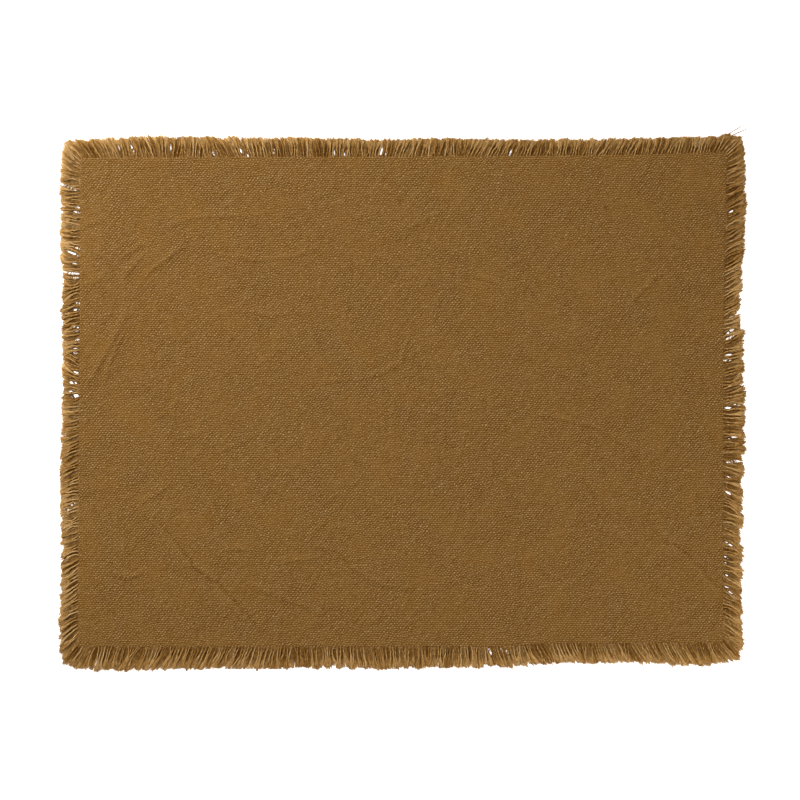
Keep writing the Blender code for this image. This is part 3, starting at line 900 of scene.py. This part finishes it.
finish = Finish("woven_cotton", COTTON)
place = finish.node("TexCoord", {}, {}, output=3)
counted_u, counted_v = finish.parts(finish.node("UVMap", {"uv_map": "weave"}, {}))
shifted = finish.node("VectorMath", {"operation": "ADD"}, {0: place, 1: (3, 5, 7)})
u = counted_u + (finish.noise(place, WARP_BENDS) - 0.5) * WANDER
v = counted_v + (finish.noise(shifted, WEFT_BENDS) - 0.5) * WANDER
u = u + (finish.noise(place, FINE_BENDS, detail=0.0) - 0.5) * FINE_WANDER
v = v + (finish.noise(shifted, FINE_BENDS, detail=0.0) - 0.5) * FINE_WANDER
warp, weft = u.floor(), v.floor()
print("yarn places:", len(finish.tree.nodes), "nodes")

# %% Cloth: how high each yarn's back stands
WARP_ROUND, WEFT_ROUND = 1.09, 0.78  # rise of a yarn's back between its sides
WARP_CRIMP, WEFT_CRIMP = 1.65, 0.49  # and over the other set of yarns
WARP_DROP = 0.26  # by how much the warps lie lower
SLANT = 1.35  # of a yarn's back at a crossing, as its twist is
CROSSING_SPREAD = 0.60  # how unlike each other single crossings are
RUN_SPREAD, RUN_LENGTH = 0.38, 3.2  # crossings that are pressed alike along the slant
STREAK_SPREAD = 0.14  # long marks of the same slant
STREAKS_ACROSS, STREAKS_ALONG = 0.248, 0.058  # of them for each yarn
MEAN_RELIEF = 1.2
PRESS_SPREAD = 1.6  # how unevenly the weave is pressed flat
PRESS_PATCHES, TONE_PATCHES = 45.0, 55.0  # of that and of the mottled colour, in a metre

across_warp, across_weft = u - warp - 0.5, v - weft - 0.5
warp_back = (across_warp - across_weft * SLANT).wave() * WARP_ROUND
warp_back = warp_back + (v - 0.5 + warp).wave() * WARP_CRIMP - WARP_DROP
weft_back = (across_weft - across_warp * SLANT).wave() * WEFT_ROUND
weft_back = weft_back - (u - 0.5 + weft).wave() * WEFT_CRIMP
relief = warp_back.maths("MAXIMUM", weft_back)

relief = relief + (finish.chance(warp, weft, 0.0) - 0.5) * CROSSING_SPREAD
slope = warp - weft
run = ((warp + weft) * (0.5 / RUN_LENGTH) + finish.chance(slope) * 7.0).floor()
relief = relief + (finish.chance(slope, run, 4.0) - 0.5) * RUN_SPREAD
slanted = finish.node("CombineXYZ", {}, {0: (u - v) * STREAKS_ACROSS, 1: (u + v) * STREAKS_ALONG})
relief = relief + (finish.noise(slanted, 1.0, detail=1.0) - 0.5) * STREAK_SPREAD
press = (finish.noise(place, PRESS_PATCHES, detail=1.0) - 0.5) * PRESS_SPREAD + 1.0
relief = (relief - MEAN_RELIEF) * press + MEAN_RELIEF
print("relief:", len(finish.tree.nodes), "nodes")

# %% Cloth: colour from the relief
GROUND = (0.219, 0.1138, 0.0286)
WARMER, COLDER = (1.007, 1.0, 0.97), (0.993, 1.0, 1.025)
RELIEF_RANGE = (-0.04, 2.93)  # from the darkest hollow to the lightest back
# The hollows' tone is painted shade, and the lift to the yarns' backs painted light.
HOLLOW_SHADE_TONE = 0.55
ROW_TONE = 0.070  # how much lighter each row of warp backs is
RELIEF_DEPTH = 0.08 * MM  # for each unit of the relief

lift = relief.ramp(*RELIEF_RANGE)
rows = ((v - 0.55) * 2.0).wave()
mottle = finish.noise(place, TONE_PATCHES, detail=3.0)
warm = finish.blend((mottle - 0.5).ramp(-0.16, 0.16), WARMER, COLDER)
colour = finish.blend(1.0, GROUND, warm, "MULTIPLY")
# The creases' painted highlights and shade lines, with the rubbed spots and knots.
crease_light_and_wear = finish.node("Attribute", {"attribute_name": "wear"}, {}, output=2)
# Painted shade in the hollows and painted light on the yarns' backs, from the relief.
colour = finish.tinted(colour, HOLLOW_SHADE_TONE + lift + rows * ROW_TONE + crease_light_and_wear)
cloth_material = finish.dress(colour, 0.95 - lift * 0.1, relief, RELIEF_DEPTH)
cloth.data.materials.append(cloth_material)
print("cloth finish:", len(cloth_material.node_tree.nodes), "nodes")

# %% [markdown]
# ## The fringe's finish
#
# Loose yarn is the same cotton without the shadows of its weave. Where it leaves the cloth it
# looks as the cloth does. Further out a lower yarn is painted dark brown, as the shade under the
# upper ones, and both turn golden at their ends, a colour that is partly painted light, for the
# light that comes through where the fibres part. The chart's columns give the yarn's layer and
# shade, and its height the way from root to tip.

# %% Fringe: brown at the root, painted shade on lower yarns, golden painted light at the frayed end
# The lower yarns' dark brown is painted shade, from the upper yarns over them.
LOWER_SHADE_BROWN = (0.178, 0.087, 0.0200)
ROOT_BROWN = (0.290, 0.147, 0.0370)
SHANK_BROWN = (0.405, 0.219, 0.0590)
TIP_BROWN = (0.490, 0.268, 0.0700)
# The tips' gold is partly painted light, for the light that comes through the parted fibres.
TIP_GOLD_LIT = (0.580, 0.370, 0.1500)
CRIMPS = 10  # bends that the weave has left in each yarn
TIPS = ((0.9, TIP_BROWN), (1.0, TIP_GOLD_LIT))
UPPER_STOPS = ((0.0, ROOT_BROWN), (0.12, ROOT_BROWN), (0.30, SHANK_BROWN), (0.72, SHANK_BROWN), *TIPS)
LOWER_STOPS = ((0.0, ROOT_BROWN), (0.09, ROOT_BROWN), (0.15, LOWER_SHADE_BROWN), (0.6, LOWER_SHADE_BROWN), *TIPS)
STREAKS_IN_COLUMN, STREAKS_IN_LENGTH = 9.0, 13.0
# The crimp's tone is painted light and shade on each yarn's bends.
SHADE_TONE, STREAK_TONE, CRIMP_SHADE_TONE, DARKER = 0.8, 2.8, 0.12, 0.80

finish = Finish("loose_cotton", COTTON)
across, along = finish.parts(finish.node("UVMap", {"uv_map": CHART}, {}))
across = across * CHART_COLUMNS
column = across.floor()
lower = column.maths("GREATER_THAN", CHART_COLUMNS / 2 - 0.5)
shade = (column - lower * (CHART_COLUMNS / 2)) * (2 / CHART_COLUMNS)
colour = finish.blend(lower, finish.grade(along, *UPPER_STOPS), finish.grade(along, *LOWER_STOPS))
streaks = {0: across * STREAKS_IN_COLUMN, 1: along * STREAKS_IN_LENGTH}
streaks = finish.noise(finish.node("CombineXYZ", {}, streaks), 1.0)
# Painted light and shade along each yarn's bends, fading towards its tip.
crimp = (along * CRIMPS + finish.chance(column) * 2.0).wave() * (1.0 - along)
tone = shade * SHADE_TONE + streaks * STREAK_TONE + crimp * CRIMP_SHADE_TONE - DARKER
colour = finish.tinted(colour, tone)
fringe_material = finish.dress(colour, 0.95 - shade * 0.1, streaks + crimp * 1.6, 0.07 * MM)
for fringe in fringes.values():
    fringe.data.materials.append(fringe_material)
print("fringe finish:", len(fringe_material.node_tree.nodes), "nodes")

# %% [markdown]
# ## The table, the light and the camera
#
# The mat is seen from straight above on white. One soft light stands to the upper left, near
# enough to leave that corner the brightest, and lights one flank of each yarn and fold. A weak one
# faces it, and a bright sky fills in the rest. The ground glows, as the white acrylic of a light
# table does, so no shadow shows on it.

# %% Ground
deselect()
bpy.ops.mesh.primitive_plane_add(size=6, location=(0, 0, -0.2 * MM))
ground_plane = bpy.context.object
ground_plane.name = "ground"
ACRYLIC = {
    "Base Color": (0.93, 0.93, 0.93, 1.0),
    "Emission Color": (1, 1, 1, 1),
    "Emission Strength": 1.0,
}
white = Finish("glowing_white", ACRYLIC)
ground_plane.data.materials.append(white.material)

# %% Lights
SKY_STRENGTH = 0.28
LIGHTS = (  # name, place, watts and size
    ("key_light", (-0.683, 0.573, 0.803), 17.3, 0.35),
    ("fill_light", (0.565, -0.474, 0.516), 3.3, 0.30),
)


def aim(light):
    """Turns a light so that it looks at the origin."""
    way = -np.array(light.location)
    flat = np.hypot(way[0], way[1])
    light.rotation_euler = (np.arctan2(flat, -way[2]), 0, np.arctan2(-way[0], way[1]))


for name, light_place, power, size in LIGHTS:
    bpy.ops.object.light_add(type="AREA", location=light_place)
    light = bpy.context.object
    light.name = name
    light.data.energy = power
    light.data.size = size
    aim(light)
sky = bpy.data.worlds.new("sky")
sky.use_nodes = True
background = sky.node_tree.nodes["Background"].inputs
background["Color"].default_value = (1.0, 1.0, 1.0, 1.0)
background["Strength"].default_value = SKY_STRENGTH
bpy.context.scene.world = sky
print("lights:", [row[0] for row in LIGHTS])

# %% Camera
PIXEL = 0.656 * MM  # of the ground, in the picture's 800 pixels
PICTURE = 800
LENS, SENSOR = 85.0, 36.0
OFF_CENTRE = np.array([1.3, 0.3]) * MM  # of the picture from the mat's own middle
camera_height = PICTURE * PIXEL * LENS / SENSOR
view_place = (*(TABLE_SHIFT - OFF_CENTRE), camera_height + CLOTH_THICKNESS)
bpy.ops.object.camera_add(location=view_place, rotation=(0, 0, 0))
camera = bpy.context.object
camera.data.lens = LENS
camera.data.sensor_width = SENSOR
camera.data.clip_start = 0.01
bpy.context.scene.camera = camera
bpy.context.scene.view_settings.view_transform = "Standard"
print("camera", camera_height, "m above the mat")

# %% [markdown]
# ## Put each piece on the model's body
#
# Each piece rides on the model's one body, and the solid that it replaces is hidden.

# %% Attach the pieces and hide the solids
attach(cloth, "root")
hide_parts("cloth")
for side, fringe in fringes.items():
    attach(fringe, "root")
    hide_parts(f"fringe_{side}")
